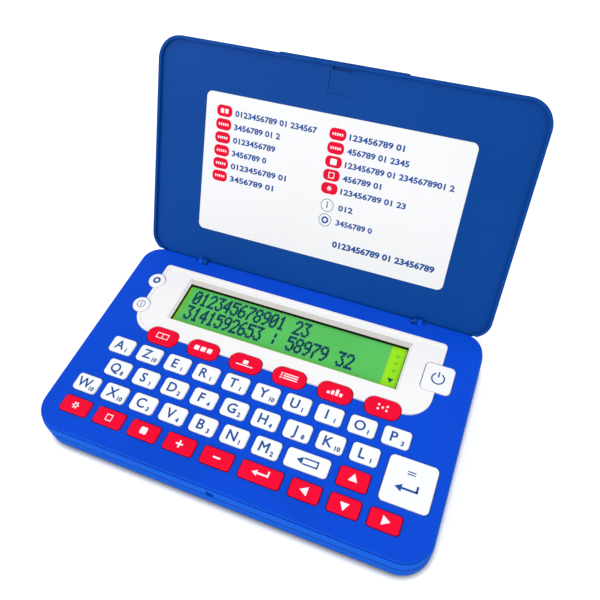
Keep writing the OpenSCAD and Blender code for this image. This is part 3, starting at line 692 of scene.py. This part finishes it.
# %% Printing on a piece


def press(name, meshes, spot, body, material):
    """Joins marks in millimetres into one piece, sets it on a spot and lets it ride on a body."""
    bm = bmesh.new()
    for mesh in meshes:
        bm.from_mesh(mesh)
        bpy.data.meshes.remove(mesh)
    joined = bpy.data.meshes.new(name)
    bm.to_mesh(joined)
    bm.free()
    joined.transform(spot @ Matrix.Scale(MM, 4))
    joined.materials.append(material)
    piece = bpy.data.objects.new(name, joined)
    bpy.context.scene.collection.objects.link(piece)
    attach(piece, body)


def key_spot(node):
    """Frame on top of a key: its middle, at the height of its flat top."""
    low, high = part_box(node)
    return Matrix.Translation(((low.x + high.x) / 2, (low.y + high.y) / 2, high.z))


# %% [markdown]
# A letter key carries its letter a little left of the middle and a small number at its lower right.
# They could be cut into the cap, but on the real keys they are printed and leave no dent, so they are
# ink. One loop places all of them from the middle of each key's box. They ride on the key's own body,
# so the printing goes down with the key.

# %% Letter keys
LETTER_VALUES = {
    "a": 1, "z": 10, "e": 1, "r": 1, "t": 1, "y": 10, "u": 1, "i": 1, "o": 1, "p": 3,
    "q": 8, "s": 1, "d": 2, "f": 4, "g": 2, "h": 4, "j": 8, "k": 10, "l": 1,
    "w": 10, "x": 10, "c": 3, "v": 4, "b": 3, "n": 1, "m": 2,
}
LETTER_HEIGHT = 3.45
LETTER_X, LETTER_Y = -0.85, -0.06
VALUE_HEIGHT = 1.5
VALUE_X, VALUE_Y = 2.35, -1.6
WIDE_VALUE_SHIFT = 0.45
for letter, value in LETTER_VALUES.items():
    node = "key_" + letter
    value_x = VALUE_X + WIDE_VALUE_SHIFT * (value > 9)
    letter_marks = [letter_mesh(letter.upper(), LETTER_HEIGHT, LETTER_X, LETTER_Y),
                    letter_mesh(str(value), VALUE_HEIGHT, value_x, VALUE_Y)]
    press("legend_" + letter, letter_marks, key_spot(node), node, legend_blue)
print("letter legends", len(LETTER_VALUES))

# %% [markdown]
# The red keys carry small white pictures: arrows, a star, squares, a book, a list and bars. Signs
# from a font would do for some of them, but no one font is sure to hold them all, and a few outlines
# make each one. All lengths are in millimetres, and a bar has a width, a height and a middle.

# %% Pictures on the red keys
ARROW = 1.75
PAGE_LINE = 0.3
LIST_YS = (-0.9, 0.0, 0.9)
SCORE_HEIGHTS = (1.0, 1.6, 2.4, 1.3)
SCORE_LEFT, SCORE_STEP, SCORE_FOOT = -2.2, 1.5, -1.2
DIE_X, DIE_Y = 1.5, 0.8


def book():
    edges = [bar(2.0, PAGE_LINE, sx * 1.15, sy * 1.0) for sx in SIDES for sy in SIDES]
    return [bar(PAGE_LINE, 2.2)] + edges + [bar(PAGE_LINE, 2.3, side * 2.3) for side in SIDES]


def list_lines():
    return [bar(5.4, 0.42, 0.5, y) for y in LIST_YS] + [disc(0.3, -3.0, y) for y in LIST_YS]


def score_bars():
    return [bar(1.0, h, SCORE_LEFT + i * SCORE_STEP, SCORE_FOOT + h / 2)
            for i, h in enumerate(SCORE_HEIGHTS)]


def die_dots():
    return [disc(0.42)] + [disc(0.42, sx * DIE_X, sy * DIE_Y) for sx in SIDES for sy in SIDES]


WHITE_PICTURES = {
    "key_star": star(2.6, 0.5),
    "key_joker": hollow_square(2.4, 0.3),
    "key_square": [soft_bar(2.5, 2.5, 0.5)],
    "key_bonus": [bar(2.6, 0.6)] + [bar(0.6, 1.0, 0, side * 0.8) for side in SIDES],
    "key_deduct": [bar(2.6, 0.6)],
    "key_back": [arrow_head(1.2, LEFTWARD, -1.8), bar(4.0, 0.6, 0.8), bar(0.6, 1.4, 2.5, 1.0)],
    "key_left": [arrow_head(ARROW, LEFTWARD)],
    "key_right": [arrow_head(ARROW, RIGHTWARD)],
    "key_down": [arrow_head(ARROW, DOWNWARD)],
    "key_up_arrow": [arrow_head(ARROW, UPWARD)],
    "key_book": book(),
    "key_form": [soft_bar(1.9, 1.9, 0.3, x) for x in (-2.6, 0, 2.6)],
    "key_place": [bar(6.4, 0.4, 0, -1.1), soft_bar(1.9, 1.6, 0.3, 0, 0.3)],
    "key_list": list_lines(),
    "key_score": score_bars(),
    "key_games": die_dots(),
}


def print_pictures(pictures, ink):
    for node, outlines in pictures.items():
        name = node.replace("key_", "legend_", 1)
        press(name, [ink_mesh(outlines)], key_spot(node), node, ink)


print_pictures(WHITE_PICTURES, legend_white)
print("white pictures", len(WHITE_PICTURES))

# %% [markdown]
# The two wide white keys and the three beside the screen carry blue signs: a backward arrow, an equals
# sign over a return arrow, a power sign, a ring and a ringed i. They are printed like the white
# pictures, so the same bars and rings make them, and only the ink changes.

# %% Pictures on the white keys


def backward_arrow():
    rails = [bar(5.0, 0.5, 1.2, side * 1.0) for side in SIDES]
    return [arrow_head(1.4, LEFTWARD, -2.2)] + rails + [bar(0.5, 2.5, 3.6)]


def equals_over_return():
    equals = [bar(2.6, 0.36, 0, y) for y in (3.6, 2.8)]
    shaft_y = -2.2
    return equals + [arrow_head(1.5, LEFTWARD, -2.6, shaft_y), bar(5.2, 0.7, 0.7, shaft_y),
                     bar(0.7, 2.4, 2.95, -1.35)]


BLUE_PICTURES = {
    "key_erase": backward_arrow(),
    "key_enter": equals_over_return(),
    "key_power": ring(2.4, 1.9, 0, -0.2, 120, 300) + [bar(0.5, 2.2, 0, 1.4)],
    "key_settings": ring(1.55, 0.75),
    "key_help": ring(1.7, 1.45) + [bar(0.35, 1.2, 0, -0.3), disc(0.25, 0, 0.75)],
}
print_pictures(BLUE_PICTURES, legend_blue)
print("blue pictures", len(BLUE_PICTURES))

# %% [markdown]
# The screen is a reflective liquid crystal: a yellow-green film under glass, a greener field where
# the characters are, and a strip at the right with small markers. A marker that is off still shows
# faintly. Glass over the film could be see-through, but it would add reflections that the real one
# hardly shows at this angle, so each layer is an opaque finish with a good gloss.

# %% Finishes of the screen
LCD_FILM = rgb(146, 226, 38)
LCD_FIELD = rgb(92, 202, 96)
LCD_STRIP = rgb(158, 236, 22)
LCD_INK = rgb(12, 78, 96)
LCD_GHOST = rgb(118, 204, 40)

lcd_film = moulded("lcd_film", LCD_FILM, rough=0.25, uneven=0.05)
lcd_field = moulded("lcd_field", LCD_FIELD, rough=0.25, uneven=0.07)
lcd_strip = moulded("lcd_strip", LCD_STRIP, rough=0.25, uneven=0.04)
lcd_ink = moulded("lcd_ink", LCD_INK, rough=0.3, uneven=0.05)
lcd_ghost = moulded("lcd_ghost", LCD_GHOST, rough=0.25, uneven=0.04)
print("screen finishes", [m.name for m in (lcd_film, lcd_field, lcd_strip, lcd_ink, lcd_ghost)])

# %% [markdown]
# The layers could be painted into one material, but their edges would blur, so each is a thin plate
# on the glass. A black foam gasket closes the gap between the glass and the white frame, and its
# black also stands for the shade in that gap: a painted shade. It is what shows as a dark line along
# the back and the left of the window, so its hole lies a little to the front. All is in millimetres
# from the middle of the glass: the gasket by its width and depth, its hole by width, depth and
# middle, the field and the strip by their left, right, front and back edges.

# %% Layers of the screen
GASKET_SIZE = (93.4, 20.4)
GASKET_HOLE = (88.8, 17.6, 0.0, -0.3)
GASKET_HEIGHT = 0.95
FIELD = (-43.5, 38.7, -7.95, 9.0)
STRIP = (38.9, 44.7, -8.9, 8.9)


def area(left, right, front, back):
    return bar(right - left, back - front, (left + right) / 2, (front + back) / 2)


def gasket_mesh(outer, inner, height):
    """A flat rectangular ring: its four sides are strips between two rectangles."""
    bm = bmesh.new()
    loops = []
    for size in (outer, inner):
        for z in (0, height):
            loops.append([bm.verts.new((p.x, p.y, z)) for p in bar(*size)])
    for a, b in ((0, 1), (1, 3), (3, 2), (2, 0)):
        for i in range(4):
            bm.faces.new((loops[a][i - 1], loops[a][i], loops[b][i], loops[b][i - 1]))
    bmesh.ops.recalc_face_normals(bm, faces=bm.faces)
    mesh = bpy.data.meshes.new("gasket")
    bm.to_mesh(mesh)
    bm.free()
    return mesh


dress("lcd_panel", lcd_film)
glass_low, glass_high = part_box("lcd_panel")
glass_middle = (glass_low + glass_high) / 2
glass_spot = Matrix.Translation((glass_middle.x, glass_middle.y, glass_high.z))
layer_spot = glass_spot @ Matrix.Translation((0, 0, INK * MM))
gasket = gasket_mesh(GASKET_SIZE, GASKET_HOLE, GASKET_HEIGHT)
# The gasket's black ring also paints the shade in the gap under the frame.
press("screen_shade_gasket", [gasket], glass_spot, "base", foam_and_painted_shade)
press("screen_field", [ink_mesh([area(*FIELD)])], glass_spot, "base", lcd_field)
press("screen_strip", [ink_mesh([area(*STRIP)])], glass_spot, "base", lcd_strip)
print("screen top in mm", round(glass_high.z / MM, 2))

# %% [markdown]
# The characters are made of dots, five wide and seven high, as on any such screen. Every dot could
# be a plate, but dots that touch in a row can be one bar, which takes fewer faces and looks the same.
# So each digit is a short pattern of numbers, one for each row, whose bits say which dots are on, and
# a loop turns its runs of bits into bars. The two lines show plain digits. The strip beside them has
# one dark marker and three that are off, which still show faintly, as on the real glass.

# %% Characters on the screen
DOTS_WIDE, DOTS_HIGH = 5, 7
DOT_STEP_X, DOT_STEP_Y = 0.547, 0.91
DOT_GROW, DOT_RISE = 0.36, 0.2
UPPER_TEXT, UPPER_LEFT, UPPER_BASE = "012345678901 23", -40.7, 1.35
LOWER_TEXT, LOWER_LEFT, LOWER_BASE = "3141592653 : 58979 32", -40.8, -6.0
DIGITS = {
    "0": (14, 17, 19, 21, 25, 17, 14), "1": (4, 12, 4, 4, 4, 4, 14), "2": (14, 17, 1, 2, 4, 8, 31),
    "3": (31, 2, 4, 2, 1, 17, 14), "4": (2, 6, 10, 18, 31, 2, 2), "5": (31, 16, 30, 1, 1, 17, 14),
    "6": (6, 8, 16, 30, 17, 17, 14), "7": (31, 1, 2, 4, 8, 8, 8), "8": (14, 17, 17, 14, 17, 17, 14),
    "9": (14, 17, 17, 15, 1, 2, 12), " ": (0,) * DOTS_HIGH, ":": (0, 4, 4, 0, 4, 4, 0),
}
MARK, MARK_X, MARK_Y = 1.25, 41.7, -5.4
FAINT_MARK, FAINT_MARK_X, FAINT_MARK_YS = 1.0, 41.8, (4.6, 1.6, -1.5)


def runs(bits):
    """First and last column of each run of dots in a row."""
    columns = [c for c in range(DOTS_WIDE) if bits >> (DOTS_WIDE - 1 - c) & 1]
    starts = [c for c in columns if c - 1 not in columns]
    ends = [c for c in columns if c + 1 not in columns]
    return zip(starts, ends)


def dots(text, left, base):
    """Bars for a line of digits, from its left end and its base line, in millimetres."""
    out = []
    for i, sign in enumerate(text):
        for row, bits in enumerate(DIGITS[sign]):
            y = base + (DOTS_HIGH - 1 - row) * DOT_STEP_Y
            for first, last in runs(bits):
                x = left + (i * (DOTS_WIDE + 1) + (first + last) / 2) * DOT_STEP_X
                w = (last - first + 1) * DOT_STEP_X + DOT_GROW
                out.append(bar(w, DOT_STEP_Y + DOT_RISE, x, y))
    return out


screen_bars = dots(UPPER_TEXT, UPPER_LEFT, UPPER_BASE) + dots(LOWER_TEXT, LOWER_LEFT, LOWER_BASE)
mark = arrow_head(MARK, DOWNWARD, MARK_X, MARK_Y)
faint_marks = [arrow_head(FAINT_MARK, DOWNWARD, FAINT_MARK_X, y) for y in FAINT_MARK_YS]
press("screen_text", [ink_mesh(screen_bars)], layer_spot, "base", lcd_ink)
press("screen_mark", [ink_mesh([mark])], layer_spot, "base", lcd_ink)
press("screen_faint_marks", [ink_mesh(faint_marks)], layer_spot, "base", lcd_ghost)
print("bars on the screen", len(screen_bars))

# %% [markdown]
# The card in the lid lists what the keys do. It leans with the lid, so its marks need a frame that
# leans too. The lean could be typed in, but the hinge's range already holds it: the lid shuts flat
# over the keys, so what is left of half a turn is the lean. The card's corners, turned back by it,
# give the middle of its face.

# %% Frame on the card
hinge = next(j for j in frame["joints"] if j["name"] == "lid_hinge")
lid_lean = math.pi - math.radians(hinge["range_deg"][1])
card_turn = Matrix.Rotation(lid_lean, 4, "X")
card = nodes["lid_card"]
flat_corners = [card_turn.inverted() @ card.matrix_world @ v.co for v in card.data.vertices]


def middle(values):
    return (min(values) + max(values)) / 2


card_middle = Vector((middle([p.x for p in flat_corners]), middle([p.y for p in flat_corners]),
                      max(p.z for p in flat_corners)))
card_spot = card_turn @ Matrix.Translation(card_middle)
badge_spot = card_spot @ Matrix.Translation((0, 0, INK * MM))
print("lean of the card in degrees", round(math.degrees(lid_lean), 1))

# %% [markdown]
# Each line of the card begins with a small red badge, which repeats the picture of the red key that
# the line is about. The badges could be copies of the keys' own pictures at a smaller size, but at
# this size five blocks in a row say as much for those with more detail. The white marks lie one film
# of ink higher than the badges, as a second pass of printing would.

# %% Badges of the card
BADGE_RED = rgb(232, 0, 48)
BADGE_W, BADGE_H, BADGE_R = 6.2, 4.1, 1.7
LEFT_BADGE, LEFT_COUNT = -42.0, 6
RIGHT_BADGE, RIGHT_COUNT = 1.9, 5
LINE_TOP, LINE_STEP = 20.3, 4.84
BLOCK_W, BLOCK_H, BLOCK_STEP = 0.5, 0.9, 0.85
PAGE_W, PAGE_H, PAGE_OUT = 1.3, 1.6, 0.9

badge_red = moulded("badge_red", BADGE_RED, rough=0.5, uneven=0.02, mirror=0.1)


def line_y(i):
    return LINE_TOP - i * LINE_STEP


def badges(x, count):
    return [soft_bar(BADGE_W, BADGE_H, BADGE_R, x, line_y(i)) for i in range(count)]


def blocks(x, lines):
    return [bar(BLOCK_W, BLOCK_H, x + k * BLOCK_STEP, line_y(i)) for i in lines for k in range(-2, 3)]


card_badges = badges(LEFT_BADGE, LEFT_COUNT) + badges(RIGHT_BADGE, RIGHT_COUNT)
badge_marks = [bar(PAGE_W, PAGE_H, LEFT_BADGE + side * PAGE_OUT, line_y(0)) for side in SIDES]
badge_marks += blocks(LEFT_BADGE, range(1, LEFT_COUNT)) + blocks(RIGHT_BADGE, range(2))
badge_marks.append(soft_bar(2.4, 2.2, 0.4, RIGHT_BADGE, line_y(2)))
badge_marks += hollow_square(2.2, 0.3, RIGHT_BADGE, line_y(3))
badge_marks += star(1.8, 0.34, RIGHT_BADGE, line_y(4))
press("card_badges", [ink_mesh(card_badges)], card_spot, "lid", badge_red)
press("card_marks", [ink_mesh(badge_marks)], badge_spot, "lid", legend_white)
print("badges", len(card_badges), "marks", len(badge_marks))

# %% [markdown]
# A row of plain digits stands beside each badge. Below them are two ringed signs with a row each, and
# a longer row at the foot. The rows are spaced evenly and only end at different places, so the ends
# are all that a loop needs, and each row is fitted to its width. Rows typed one by one would give
# the same picture with far more to keep in step.

# %% Lines of the card
RING_GREY = rgb(150, 160, 172)
CARD_TEXT = 1.95
DIGIT_WIDTH = 1.58
DIGIT_ROW = "0123456789 01 2345678901 23456 789012"
TEXT_DROP = 0.2
LEFT_TEXT, LEFT_ENDS = -37.7, (-5.8, -19.3, -20.6, -23.6, -15.1, -19.6)
RIGHT_TEXT, RIGHT_ENDS = 6.2, (25.9, 28.5, 45.2, 20.5, 30.4)
SIGN_X, SIGN_OUTER, SIGN_INNER, SIGN_TEXT = 2.1, 2.5, 2.2, 6.4
HELP_Y, HELP_END = -5.4, 11.9
SETTINGS_Y, SETTINGS_END = -11.0, 20.3
FOOT_TEXT, FOOT_BOLD, FOOT_Y, FOOT_END = 2.2, 0.14, -19.5, 45.2

ring_grey = moulded("ring_grey", RING_GREY, rough=0.5, uneven=0.02)


def digits(left, right, y, first=0, size=CARD_TEXT, bold=BOLD):
    """A row of digits from left to right. first is where in DIGIT_ROW it begins."""
    count = round((right - left) * CARD_TEXT / size / DIGIT_WIDTH)
    text = DIGIT_ROW[first:first + count].strip()
    return letter_mesh(text, size, (left + right) / 2, y, bold, right - left)


rows = []
for column, (left, ends) in enumerate(((LEFT_TEXT, LEFT_ENDS), (RIGHT_TEXT, RIGHT_ENDS))):
    for i, right in enumerate(ends):
        rows.append(digits(left, right, line_y(i) - TEXT_DROP, first=(i * 3 + column) % 6))
rows.append(digits(SIGN_TEXT, HELP_END, HELP_Y))
rows.append(digits(SIGN_TEXT, SETTINGS_END, SETTINGS_Y, first=3))
rows.append(digits(SIGN_TEXT, FOOT_END, FOOT_Y, size=FOOT_TEXT, bold=FOOT_BOLD))
help_sign = [bar(0.42, 1.5, SIGN_X, HELP_Y - 0.25), disc(0.3, SIGN_X, HELP_Y + 1.0)]
settings_sign = ring(1.35, 0.7, SIGN_X, SETTINGS_Y)
rings = ring(SIGN_OUTER, SIGN_INNER, SIGN_X, HELP_Y) + ring(SIGN_OUTER, SIGN_INNER, SIGN_X, SETTINGS_Y)
press("card_rings", [ink_mesh(rings)], card_spot, "lid", ring_grey)
press("card_lines", rows + [ink_mesh(help_sign + settings_sign)], card_spot, "lid", legend_blue)
print("rows of digits", len(rows))
